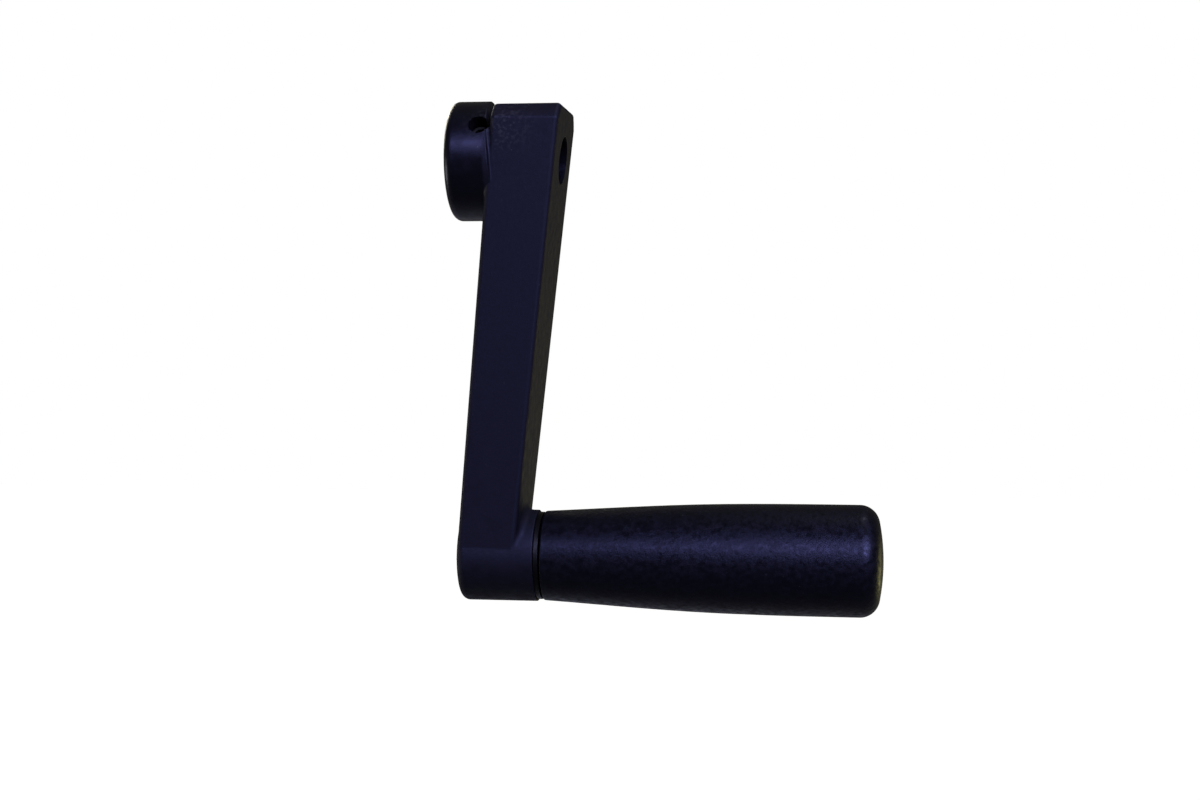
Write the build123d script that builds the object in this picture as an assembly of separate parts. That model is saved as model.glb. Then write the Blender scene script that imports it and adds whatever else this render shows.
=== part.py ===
from build123d import *
import math
import os

# Crank handle with a revolving grip. All sizes are in millimetres.
#
# Frame: the origin is on the axis of the hub's bore, at the hub's back face, where the
# driven shaft goes in. +X runs along the shaft towards the grip, and +Z is up: the arm
# hangs from the hub along -Z and carries the grip at its lower end.

# Crank
crank_radius = 100.0  # from the axis of the bore to the axis of the grip

# Hub, round, behind the upper end of the arm
hub_dia = 30.0
hub_projection = 10.9  # from the hub's back face to the arm's back face, at the bore
hub_rim_radius = 2.2
hub_root_depth = 0.3  # how far the hub's body runs on past the arm's back face
hub_end_radius = 0.25  # on the rim that stands out past the arm's top and sides
hub_root_radius = 0.5  # in the corner between the hub and the arm
bore_dia = 12.0
bore_countersink = 0.5

# Arm, a flat bar that leans back and tapers from the hub to the boss
arm_thickness_hub = 16.9
arm_thickness_boss = 14.7
arm_setback = 8.6  # how far the back face leans back between hub and boss
arm_width_hub = 27.6  # across the front face
arm_width_boss = 22.4  # across the front face
arm_side_draft = 0.5  # degrees, so that the arm is narrower at its back face
arm_top = 13.2  # top face above the axis of the bore
arm_corner_cut = 2.2  # the top corners are cut back by this much, to a circle about the bore
arm_edge_radius = 1.2

# Boss, round, through the lower end of the arm
boss_dia = 23.2
boss_length = 19.4
boss_back_radius = 2.0
boss_front_radius = 0.3
boss_root_radius = 1.8  # in the corner between the boss and the arm

# Grub screw in the hub, with a flat point and a hexagon socket
screw_dia = 5.0
screw_chamfer = 0.5
screw_socket = 2.5  # across flats
screw_socket_depth = 2.2
screw_angle = 32.0  # degrees above -Y, about the axis of the bore
screw_from_back = 8.6  # from the hub's back face
screw_sunk = 3.6  # from the hub's surface to the screw's socket end
screw_point_clearance = 0.4  # between its point and the bore
thread_clearance = 0.05  # on the radius, between a thread and its tapped hole

# Spindle: threaded end in the boss, collar against it, journal in the grip
spindle_thread_dia = 8.0
spindle_thread_length = 17.9
spindle_socket = 4.0  # across flats, in the threaded end
spindle_socket_depth = 4.5
collar_dia = 22.2
collar_thickness = 1.3
collar_radius = 0.2
undercut_width = 1.2
undercut_depth = 0.6
journal_dia = 10.0
journal_length = 66.0
journal_chamfer = 0.8
tapped_hole_countersink = 0.5

# Retaining ring: round wire, snapped between a groove in the journal and one in the grip
ring_wire_dia = 1.2
ring_from_tip = 7.0  # from the spindle's tip to the middle of the wire
ring_gap_angle = 40.0  # degrees of the circle left open
ring_seat_clearance = 0.04  # around the wire, in the journal's groove
ring_running_clearance = 0.3  # around the wire, in the grip's groove

# Grip, moulded, hollow, closed at its outer end
grip_length = 83.1
grip_end_play = 0.35  # between the collar and the grip
grip_inner_dia_end = 22.7  # at the end beside the boss
grip_waist_at = 38.0  # where the taper runs out into the barrel
grip_waist_dia = 27.0
grip_barrel_dia = 28.0  # near the outer end
grip_barrel_at = 76.0
grip_neck_radius = 0.4
grip_end_radius = 5.0
grip_end_crown = 1.9
grip_bore_clearance = 0.06  # on the radius, around the journal
grip_bore_past_tip = 1.5

# Derived places along X
boss_back = hub_projection - arm_setback
boss_front = boss_back + boss_length
grip_start = boss_front + collar_thickness + grip_end_play
journal_start = boss_front + collar_thickness
journal_end = journal_start + journal_length
ring_at = journal_end - ring_from_tip
grip_axis = Axis((0, 0, -crank_radius), (1, 0, 0))
past = 1.0  # how far a cutting tool runs past the face that it cuts


def along_x(radius, start, end, height=0.0):
    """A round bar along +X at a height above the bore."""
    plane = Plane(origin=(start, 0, height), x_dir=(0, 1, 0), z_dir=(1, 0, 0))
    return extrude(plane * Circle(radius), end - start)


def countersink(radius, depth, face, inwards, height=0.0):
    """A cutting cone for a hole's mouth at X = face, running in along +X or -X."""
    x_dir = (0, 1, 0)
    mouth = Plane(origin=(face, 0, height), x_dir=x_dir, z_dir=(inwards, 0, 0))
    throat = mouth.offset(depth)
    return loft([mouth * Circle(radius + depth), throat * Circle(radius)])


def hexagon(across_flats):
    """A hexagon by its size across flats."""
    return RegularPolygon(across_flats / 2, 6, major_radius=False)


def revolved_about_grip(outline):
    """A closed outline of (x, radius) edges, turned about the axis of the grip."""
    return revolve(Pos(0, 0, -crank_radius) * outline, axis=grip_axis)


def arm_section(height):
    """The arm's section at a height above the bore, wider at its front than its back."""
    share = -height / crank_radius
    thickness = arm_thickness_hub + (arm_thickness_boss - arm_thickness_hub) * share
    back = hub_projection - arm_setback * share
    front_half = (arm_width_hub + (arm_width_boss - arm_width_hub) * share) / 2
    back_half = front_half - thickness * math.tan(math.radians(arm_side_draft))
    corners = [
        (back, -back_half),
        (back + thickness, -front_half),
        (back + thickness, front_half),
        (back, back_half),
    ]
    return Plane.XY.offset(height) * Polygon(*corners, align=None)


def make_bar():
    """The tapered bar, with its top corners cut to a circle and its edges rounded."""
    bar = loft([arm_section(arm_top), arm_section(-crank_radius)], ruled=True)
    reach = hub_projection + arm_thickness_hub + arm_width_hub
    above_bore = Pos(reach / 2, 0, arm_top) * Box(reach, 2 * arm_width_hub, 2 * arm_top)
    corner_radius = math.hypot(arm_width_hub / 2, arm_top) - arm_corner_cut
    bar -= above_bore - along_x(corner_radius, -past, reach + past)
    lower_end = bar.faces().sort_by(Axis.Z)[0]
    return fillet(bar.edges() - lower_end.edges(), arm_edge_radius)


def make_hub():
    """The hub's round body, ending on a slant just inside the arm."""
    lean = math.degrees(math.atan(arm_setback / crank_radius))
    end = hub_projection + hub_root_depth
    root = Plane(origin=(end, 0, 0), z_dir=(1, 0, 0)).rotated((0, -lean, 0))
    hub = split(along_x(hub_dia / 2, 0, end + hub_dia / 2), root, keep=Keep.BOTTOM)
    back_rim = hub.edges().sort_by(Axis.X)[0]
    hub = fillet(back_rim, hub_rim_radius)
    end_rim = hub.faces().sort_by(Axis.X)[-1].edges()
    return fillet(end_rim, hub_end_radius)


def make_boss(back):
    """The boss's round body from X = back, with its front rim rounded."""
    boss = along_x(boss_dia / 2, back, boss_front, -crank_radius)
    front_rim = boss.faces().sort_by(Axis.X)[-1].edges()
    return fillet(front_rim, boss_front_radius)


def screw_plane(radius):
    """The plane across the grub screw's axis at a distance from the bore's axis."""
    angle = math.radians(screw_angle)
    outwards = Vector(0, -math.cos(angle), math.sin(angle))
    origin = Vector(screw_from_back, 0, 0) + outwards * radius
    return Plane(origin=origin, x_dir=(1, 0, 0), z_dir=outwards)


def joined(body, part, radius):
    """Two solids as one, with the corner between them filled."""
    both = body + part
    return fillet(new_edges(body, part, combined=both), radius)


def make_crank_arm():
    """Hub, arm and boss moulded as one piece, with its three holes.

    The corner about the boss is filled with the boss run on behind the arm, so that it
    goes all round. Then what lies behind the boss's real back, which is rounded, is cut off.
    """
    arm = joined(make_bar(), make_hub(), hub_root_radius)
    boss = make_boss(boss_back)
    boss = fillet(boss.faces().sort_by(Axis.X)[0].edges(), boss_back_radius)
    far_back = boss_back - 2 * boss_dia
    filled = joined(arm, make_boss(far_back), boss_root_radius)
    behind = along_x(boss_dia, far_back - past, boss_back + boss_back_radius, -crank_radius)
    arm = filled - (behind - (arm + boss))
    front = hub_projection + arm_thickness_hub + bore_dia
    arm -= along_x(bore_dia / 2, -past, front)
    arm -= countersink(bore_dia / 2, bore_countersink, 0, 1)
    arm -= extrude(screw_plane(0) * Circle(screw_dia / 2), hub_dia)
    arm -= along_x(spindle_thread_dia / 2, boss_back - past, boss_front + past, -crank_radius)
    mouth = spindle_thread_dia / 2
    arm -= countersink(mouth, tapped_hole_countersink, boss_back, 1, -crank_radius)
    arm -= countersink(mouth, tapped_hole_countersink, boss_front, -1, -crank_radius)
    return arm


def make_set_screw():
    """The grub screw, sunk in the hub with its point just short of the bore."""
    point_from_axis = bore_dia / 2 + screw_point_clearance
    point = screw_plane(point_from_axis)
    length = hub_dia / 2 - screw_sunk - point_from_axis
    screw = extrude(point * Circle(screw_dia / 2 - thread_clearance), length)
    ends = screw.edges().filter_by(GeomType.CIRCLE)
    screw = chamfer(ends, screw_chamfer)
    socket_floor = point.offset(length - screw_socket_depth)
    return screw - extrude(socket_floor * hexagon(screw_socket), screw_socket_depth + past)


def make_spindle():
    """The spindle, turned from one bar, with a hexagon socket in its threaded end."""
    thread = spindle_thread_dia / 2 - thread_clearance
    journal = journal_dia / 2
    back = boss_front - spindle_thread_length
    outline = Polyline(
        (back, 0),
        (back, thread - journal_chamfer),
        (back + journal_chamfer, thread),
        (boss_front - undercut_width, thread),
        (boss_front - undercut_width, thread - undercut_depth),
        (boss_front, thread - undercut_depth),
        (boss_front, collar_dia / 2),
        (journal_start, collar_dia / 2),
        (journal_start, journal),
        (journal_end - journal_chamfer, journal),
        (journal_end, journal - journal_chamfer),
        (journal_end, 0),
        close=True,
    )
    profile = Plane.XZ * make_face(outline)
    groove = Plane.XZ * Pos(ring_at, journal) * Circle(ring_wire_dia / 2 + ring_seat_clearance)
    spindle = revolved_about_grip(profile - groove)
    rims = spindle.edges().filter_by(GeomType.CIRCLE).sort_by(SortBy.RADIUS)[-2:]
    spindle = fillet(rims, collar_radius)
    mouth = Plane(origin=(back, 0, -crank_radius), x_dir=(0, 1, 0), z_dir=(1, 0, 0))
    return spindle - extrude(mouth * hexagon(spindle_socket), spindle_socket_depth)


def make_retaining_ring():
    """An open ring of round wire in the journal's groove."""
    wire = Plane.XZ * Pos(ring_at, journal_dia / 2) * Circle(ring_wire_dia / 2)
    return revolve(Pos(0, 0, -crank_radius) * wire, grip_axis, 360 - ring_gap_angle)


def make_grip():
    """The grip: a tapered barrel with a blind bore and a groove for the ring."""
    neck = grip_inner_dia_end / 2
    barrel = grip_barrel_dia / 2
    end = grip_start + grip_length
    bore = journal_dia / 2 + grip_bore_clearance
    side = Spline(
        (grip_start, neck),
        (grip_start + grip_waist_at, grip_waist_dia / 2),
        (grip_start + grip_barrel_at, barrel),
        (end, barrel),
        tangents=[(grip_waist_at, grip_waist_dia / 2 - neck), (1, 0)],
    )
    crown = TangentArc((end + grip_end_crown, 0), (end, barrel), tangent=(0, 1))
    inside = Polyline(
        (end + grip_end_crown, 0),
        (journal_end + grip_bore_past_tip, 0),
        (journal_end + grip_bore_past_tip, bore),
        (grip_start, bore),
        (grip_start, neck),
    )
    profile = Plane.XZ * make_face(side + crown + inside)
    running = ring_wire_dia / 2 + ring_running_clearance
    groove = Plane.XZ * Pos(ring_at, journal_dia / 2) * Circle(running)
    grip = revolved_about_grip(profile - groove)
    rims = grip.edges().filter_by(lambda edge: edge.is_closed)
    grip = fillet(rims.sort_by(SortBy.RADIUS)[-1], grip_end_radius)
    neck_rim = grip.faces().sort_by(Axis.X)[0].edges().sort_by(SortBy.RADIUS)[-1]
    return fillet(neck_rim, grip_neck_radius)


pieces = {
    "crank_arm": make_crank_arm(),
    "set_screw": make_set_screw(),
    "spindle": make_spindle(),
    "retaining_ring": make_retaining_ring(),
    "grip": make_grip(),
}
os.makedirs("parts", exist_ok=True)
for name, shape in pieces.items():
    export_step(shape, f"parts/{name}.step")
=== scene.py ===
from math import cos, radians, sin

import bmesh
import bpy
from mathutils import Matrix, Vector


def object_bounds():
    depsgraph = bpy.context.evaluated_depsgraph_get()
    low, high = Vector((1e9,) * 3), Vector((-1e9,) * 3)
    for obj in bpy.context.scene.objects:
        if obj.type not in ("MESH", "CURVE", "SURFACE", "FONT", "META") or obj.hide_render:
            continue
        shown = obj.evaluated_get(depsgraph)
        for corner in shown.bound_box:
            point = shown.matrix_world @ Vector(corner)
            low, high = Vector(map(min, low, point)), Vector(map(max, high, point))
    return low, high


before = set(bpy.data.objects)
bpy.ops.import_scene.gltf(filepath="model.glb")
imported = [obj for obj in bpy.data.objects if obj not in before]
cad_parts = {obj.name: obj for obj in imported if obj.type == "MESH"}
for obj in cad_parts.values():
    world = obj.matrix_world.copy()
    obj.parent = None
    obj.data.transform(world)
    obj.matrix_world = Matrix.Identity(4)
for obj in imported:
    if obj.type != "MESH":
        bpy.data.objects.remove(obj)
cad_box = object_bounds()


# Crank arm: hub, leaning arm and boss, moulded in one shot of glass-filled nylon.
# The mould is spark-eroded, so every outer face has the same fine, dry texture, and
# the black has a little blue in it. The shaft goes in the hub and is clamped there.
mm = 0.001
nylon_black = (0.0009, 0.0009, 0.0016, 1)
nylon_sheen = (0.52, 0.52, 1.0, 1)
dust_grey = (0.02, 0.02, 0.022, 1)
grain_size, ripple_size, dust_size = 0.28 * mm, 1.1 * mm, 0.9 * mm


def add_noise(tree, place, size, detail):
    """A cloudy pattern between 0 and 1, with clouds of a given size."""
    noise = tree.nodes.new("ShaderNodeTexNoise")
    noise.inputs["Scale"].default_value = 1 / size
    noise.inputs["Detail"].default_value = detail
    tree.links.new(place, noise.inputs["Vector"])
    return noise.outputs["Fac"]


def add_range(tree, value, start, stop, at_start, at_stop):
    """A level that goes from at_start to at_stop while a value goes start to stop."""
    step = tree.nodes.new("ShaderNodeMapRange")
    step.inputs["From Min"].default_value = start
    step.inputs["From Max"].default_value = stop
    step.inputs["To Min"].default_value = at_start
    step.inputs["To Max"].default_value = at_stop
    tree.links.new(value, step.inputs["Value"])
    return step.outputs["Result"]


def add_math(tree, operation, first, second):
    """Two numbers joined by one arithmetic operation."""
    joined = tree.nodes.new("ShaderNodeMath")
    joined.operation = operation
    for socket, value in zip(joined.inputs, (first, second)):
        if isinstance(value, float):
            socket.default_value = value
        else:
            tree.links.new(value, socket)
    return joined.outputs["Value"]


def moulded_plastic(name, roughness, specular, grain_depth, ripple_depth,
                    patch_size, patch_change):
    """A black moulding: grain over a faint ripple, a patchy gloss and some dust."""
    material = bpy.data.materials.new(name)
    material.use_nodes = True
    tree = material.node_tree
    shader = tree.nodes["Principled BSDF"]
    shader.inputs["Specular IOR Level"].default_value = specular
    shader.inputs["Specular Tint"].default_value = nylon_sheen
    place = tree.nodes.new("ShaderNodeTexCoord").outputs["Object"]

    surface = None
    for size, depth in ((ripple_size, ripple_depth), (grain_size, grain_depth)):
        bump = tree.nodes.new("ShaderNodeBump")
        bump.inputs["Distance"].default_value = depth
        tree.links.new(add_noise(tree, place, size, detail=2.0), bump.inputs["Height"])
        if surface is not None:
            tree.links.new(surface, bump.inputs["Normal"])
        surface = bump.outputs["Normal"]
    tree.links.new(surface, shader.inputs["Normal"])

    patches = add_noise(tree, place, patch_size, detail=4.0)
    gloss = add_range(tree, patches, start=0.3, stop=0.7,
                      at_start=roughness - patch_change,
                      at_stop=roughness + patch_change)
    tree.links.new(gloss, shader.inputs["Roughness"])

    dust_clouds = add_noise(tree, place, dust_size, detail=3.0)
    dust = add_range(tree, dust_clouds, start=0.73, stop=0.8, at_start=0.0, at_stop=1.0)
    tone = tree.nodes.new("ShaderNodeMix")
    tone.data_type = "RGBA"
    tone.inputs["A"].default_value = nylon_black
    tone.inputs["B"].default_value = dust_grey
    tree.links.new(dust, tone.inputs["Factor"])
    tree.links.new(tone.outputs["Result"], shader.inputs["Base Color"])
    return material


def finish_node(node, material):
    """A CAD piece keeps its mesh and gets its real finish."""
    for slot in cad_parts[node].material_slots:
        slot.material = material


arm_plastic = moulded_plastic(
    "arm_plastic", roughness=0.61, specular=0.17, grain_depth=0.02 * mm,
    ripple_depth=0.03 * mm, patch_size=2.5 * mm, patch_change=0.07)
finish_node("crank_arm", arm_plastic)

# The hub's barrel and the bore are turned after moulding, so they shine more and
# have less grain. On the barrel this stops just behind the arm, and in the bore it
# goes right through. Each fades out over a narrow margin.
barrel_length, barrel_radius, barrel_margin = 9.8 * mm, 15.2 * mm, 0.5 * mm
bore_radius, bore_margin = 6.1 * mm, 0.1 * mm
gloss_gained, grain_lost = 0.25, 0.3
arm_tree = arm_plastic.node_tree
arm_shader = arm_tree.nodes["Principled BSDF"]
arm_place = arm_tree.nodes.new("ShaderNodeTexCoord").outputs["Object"]
along_shaft = arm_tree.nodes.new("ShaderNodeSeparateXYZ")
arm_tree.links.new(arm_place, along_shaft.inputs["Vector"])
across_shaft = arm_tree.nodes.new("ShaderNodeVectorMath")
across_shaft.operation = "MULTIPLY"
across_shaft.inputs[1].default_value = (0, 1, 1)
arm_tree.links.new(arm_place, across_shaft.inputs[0])
from_shaft = arm_tree.nodes.new("ShaderNodeVectorMath")
from_shaft.operation = "LENGTH"
arm_tree.links.new(across_shaft.outputs["Vector"], from_shaft.inputs[0])


def below(value, limit, margin):
    """1 where a value is under its limit, fading to 0 over the margin past it."""
    return add_range(arm_tree, value, limit, limit + margin, at_start=1.0, at_stop=0.0)


barrel = add_math(
    arm_tree, "MULTIPLY",
    below(along_shaft.outputs["X"], barrel_length, barrel_margin),
    below(from_shaft.outputs["Value"], barrel_radius, barrel_margin))
bore = below(from_shaft.outputs["Value"], bore_radius, bore_margin)
turned = add_math(arm_tree, "MAXIMUM", barrel, bore)
moulded_roughness = arm_shader.inputs["Roughness"].links[0].from_socket
roughness_left = add_math(
    arm_tree, "SUBTRACT", moulded_roughness,
    add_math(arm_tree, "MULTIPLY", turned, gloss_gained))
arm_tree.links.new(roughness_left, arm_shader.inputs["Roughness"])
grain_left = add_math(
    arm_tree, "SUBTRACT", 1.0, add_math(arm_tree, "MULTIPLY", turned, grain_lost))
for node in arm_tree.nodes:
    if node.type == "BUMP":
        arm_tree.links.new(grain_left, node.inputs["Strength"])

# Beside the grub screw, the arm's side is made paler in blotches, mixed towards the dust's
# grey.
blotch_middle = (14 * mm, -13.8 * mm, 9 * mm)
blotch_core, blotch_margin, blotch_size, blotch_strength = 2 * mm, 9 * mm, 0.8 * mm, 0.4
from_blotch = arm_tree.nodes.new("ShaderNodeVectorMath")
from_blotch.operation = "DISTANCE"
from_blotch.inputs[1].default_value = blotch_middle
arm_tree.links.new(arm_place, from_blotch.inputs[0])
blotch_clouds = add_noise(arm_tree, arm_place, blotch_size, detail=4.0)
blotch_spots = add_range(arm_tree, blotch_clouds, start=0.5, stop=0.65, at_start=0.0, at_stop=1.0)
blotches = add_math(
    arm_tree, "MULTIPLY", blotch_spots,
    below(from_blotch.outputs["Value"], blotch_core, blotch_margin))
blotches = add_math(arm_tree, "MULTIPLY", blotches, blotch_strength)
arm_tone = arm_shader.inputs["Base Color"].links[0].from_node
arm_dust = arm_tone.inputs["Factor"].links[0].from_socket
dust_and_blotches = add_math(arm_tree, "MAXIMUM", arm_dust, blotches)
arm_tree.links.new(dust_and_blotches, arm_tone.inputs["Factor"])


# Grip: a hollow barrel in the same nylon, closed at its outer end, that turns freely
# on the spindle. Hands have polished it, so it is glossier than the arm, in patches.
finish_node("grip", moulded_plastic(
    "grip_plastic", roughness=0.43, specular=0.135, grain_depth=0.01 * mm,
    ripple_depth=0.07 * mm, patch_size=1.4 * mm, patch_change=0.15))


# Spindle: turned from free-cutting steel and blackened, screwed into the boss. Its
# collar shows in the gap between boss and grip, its socket end in the boss's back.
def turned_steel(name, colour, roughness, ring_spacing, axis_height):
    """Turned steel: fine tool marks in rings about an axis along X."""
    material = bpy.data.materials.new(name)
    material.use_nodes = True
    tree = material.node_tree
    shader = tree.nodes["Principled BSDF"]
    shader.inputs["Metallic"].default_value = 1.0
    shader.inputs["Base Color"].default_value = colour
    place = tree.nodes.new("ShaderNodeTexCoord").outputs["Object"]
    centre = tree.nodes.new("ShaderNodeMapping")
    centre.inputs["Location"].default_value = (0, 0, -axis_height)
    tree.links.new(place, centre.inputs["Vector"])
    marks = tree.nodes.new("ShaderNodeTexWave")
    marks.wave_type = "RINGS"
    marks.rings_direction = "X"
    marks.inputs["Scale"].default_value = 1 / ring_spacing
    marks.inputs["Distortion"].default_value = 1.5
    tree.links.new(centre.outputs["Vector"], marks.inputs["Vector"])
    gloss = add_range(tree, marks.outputs["Fac"], start=0.0, stop=1.0,
                      at_start=roughness - 0.06, at_stop=roughness + 0.08)
    tree.links.new(gloss, shader.inputs["Roughness"])
    return material


crank_radius = 100 * mm
finish_node("spindle", turned_steel(
    "spindle_steel", (0.009, 0.009, 0.011, 1), roughness=0.42,
    ring_spacing=0.4 * mm, axis_height=-crank_radius))


# Retaining ring: a split ring of drawn spring wire, without a coating. It is snapped
# into the spindle's groove, inside the grip, and keeps the grip from coming off.
finish_node("retaining_ring", turned_steel(
    "spring_steel", (0.3, 0.3, 0.31, 1), roughness=0.3,
    ring_spacing=0.3 * mm, axis_height=-crank_radius))


# Grub screw: blackened steel with a hexagon socket. It is screwed into the hole in
# the hub's side until it is sunk, and holds the shaft.
finish_node("set_screw", turned_steel(
    "screw_steel", (0.012, 0.012, 0.013, 1), roughness=0.55,
    ring_spacing=0.3 * mm, axis_height=0))


# Stage: a table top well below the part, which hangs on its shaft. It glows for the
# lens, and dimly in reflections, so that it looks white under the part's shadow.
floor_drop, floor_half_width = 0.8, 8.0
floor_grey = (0.6, 0.6, 0.6, 1)
floor_glow, mirrored_share = 0.925, 0.05
floor_height = cad_box[0][2] - floor_drop
sheet = bmesh.new()
bmesh.ops.create_grid(sheet, x_segments=1, y_segments=1, size=floor_half_width)
bmesh.ops.translate(sheet, verts=sheet.verts, vec=(0, 0, floor_height))
floor_mesh = bpy.data.meshes.new("floor")
sheet.to_mesh(floor_mesh)
sheet.free()
floor = bpy.data.objects.new("floor", floor_mesh)
bpy.context.scene.collection.objects.link(floor)
floor_paper = bpy.data.materials.new("floor_paper")
floor_paper.use_nodes = True
paper_tree = floor_paper.node_tree
paper_shader = paper_tree.nodes["Principled BSDF"]
paper_shader.inputs["Base Color"].default_value = floor_grey
paper_shader.inputs["Roughness"].default_value = 0.9
paper_shader.inputs["Specular IOR Level"].default_value = 0.0
paper_shader.inputs["Emission Color"].default_value = (1, 1, 1, 1)


def looked_at(tree):
    """1 for the lens, a small share for mirrored and refracted rays, 0 as light."""
    ray = tree.nodes.new("ShaderNodeLightPath")
    bounced = add_math(tree, "MAXIMUM", ray.outputs["Is Glossy Ray"],
                       ray.outputs["Is Transmission Ray"])
    bounced = add_math(tree, "MULTIPLY", bounced, mirrored_share)
    return add_math(tree, "MAXIMUM", ray.outputs["Is Camera Ray"], bounced)


paper_glow = add_math(paper_tree, "MULTIPLY", looked_at(paper_tree), floor_glow)
paper_tree.links.new(paper_glow, paper_shader.inputs["Emission Strength"])
floor_mesh.materials.append(floor_paper)


# Room: white where the lens looks at it, and the same small share of that in
# reflections. As light it is a faint, warm one from all sides.
room_colour, room_level = (1.0, 0.93, 0.5, 1), 0.045
world = bpy.data.worlds.new("room")
bpy.context.scene.world = world
world.use_nodes = True
room = world.node_tree
room_light = room.nodes["Background"]
room_light.inputs["Color"].default_value = room_colour
room_light.inputs["Strength"].default_value = room_level
backdrop = room.nodes.new("ShaderNodeBackground")
backdrop.inputs["Color"].default_value = (1, 1, 1, 1)
blend = room.nodes.new("ShaderNodeMixShader")
room.links.new(looked_at(room), blend.inputs[0])
room.links.new(room_light.outputs["Background"], blend.inputs[1])
room.links.new(backdrop.outputs["Background"], blend.inputs[2])
room.links.new(blend.outputs["Shader"], room.nodes["World Output"].inputs["Surface"])


# Lamps: softboxes with honeycomb grids, all turned to the middle of the part. Three
# cool ones stand in a row in front, and three warm ones at the sides and behind. A
# weak distant lamp overhead gives the shadow on the table.
middle = Vector((0.05, 0.0, -0.03))


def softbox(name, place, width, height, power, colour, grid_angle):
    """A rectangular area light that faces the middle of the part."""
    lamp = bpy.data.lights.new(name, "AREA")
    lamp.shape = "RECTANGLE"
    lamp.size, lamp.size_y = width, height
    lamp.energy = power
    lamp.spread = grid_angle
    lamp.color = colour
    holder = bpy.data.objects.new(name, lamp)
    holder.visible_camera = False
    holder.location = place
    aim = middle - Vector(place)
    holder.rotation_euler = aim.to_track_quat("-Z", "Y").to_euler()
    bpy.context.scene.collection.objects.link(holder)


key_distance, key_rise = 1.75, 0.57
key_width, key_height, key_colour, key_grid = 0.75, 0.35, (0.64, 0.66, 1.0), 0.6
for name, degrees_right, power in (
        ("key_left", -14, 0.7), ("key_middle", 8, 1.1), ("key_right", 34, 4.2)):
    swing = radians(degrees_right)
    key_place = middle + key_distance * Vector((sin(swing), -cos(swing), key_rise))
    softbox(name, key_place, key_width, key_height, power, key_colour, key_grid)

warm_white, yellow, fill_grid = (1.0, 0.95, 0.8), (1.0, 0.92, 0.35), 0.5
for name, fill_place, width, height, power, colour in (
        ("rear_key", (-0.95, 1.45, 0.6), 1.2, 0.8, 1.0, warm_white),
        ("right_fill", (1.25, 0.95, -0.35), 1.0, 0.7, 0.35, yellow),
        ("left_fill", (-1.6, -0.1, -0.35), 1.0, 0.7, 0.9, warm_white)):
    softbox(name, fill_place, width, height, power, colour, fill_grid)

overhead_lamp = bpy.data.lights.new("overhead", "SUN")
overhead_lamp.energy = 0.42
overhead_lamp.angle = 0.03
overhead = bpy.data.objects.new("overhead", overhead_lamp)
overhead.rotation_euler = (-0.2, 0.25, 0)
bpy.context.scene.collection.objects.link(overhead)


# Camera: straight in front of the grip, and about as high as the arm's middle. It
# looks a few degrees back towards the arm, and slightly down.
camera_place = Vector((88.76, -415.23, -40.85)) * mm
right = Vector((0.99239, 0.12311, 0.00108))
ahead = Vector((-0.12293, 0.99133, -0.04632))
up = right.cross(ahead)
facing = Matrix((right, up, -ahead)).transposed().to_4x4()
lens = bpy.data.cameras.new("camera")
lens.lens = 49.69
lens.sensor_width = 36.0
lens.clip_start = 0.01
camera = bpy.data.objects.new("camera", lens)
camera.matrix_world = Matrix.Translation(camera_place) @ facing
bpy.context.scene.collection.objects.link(camera)
bpy.context.scene.camera = camera
bpy.context.scene.view_settings.view_transform = "Standard"
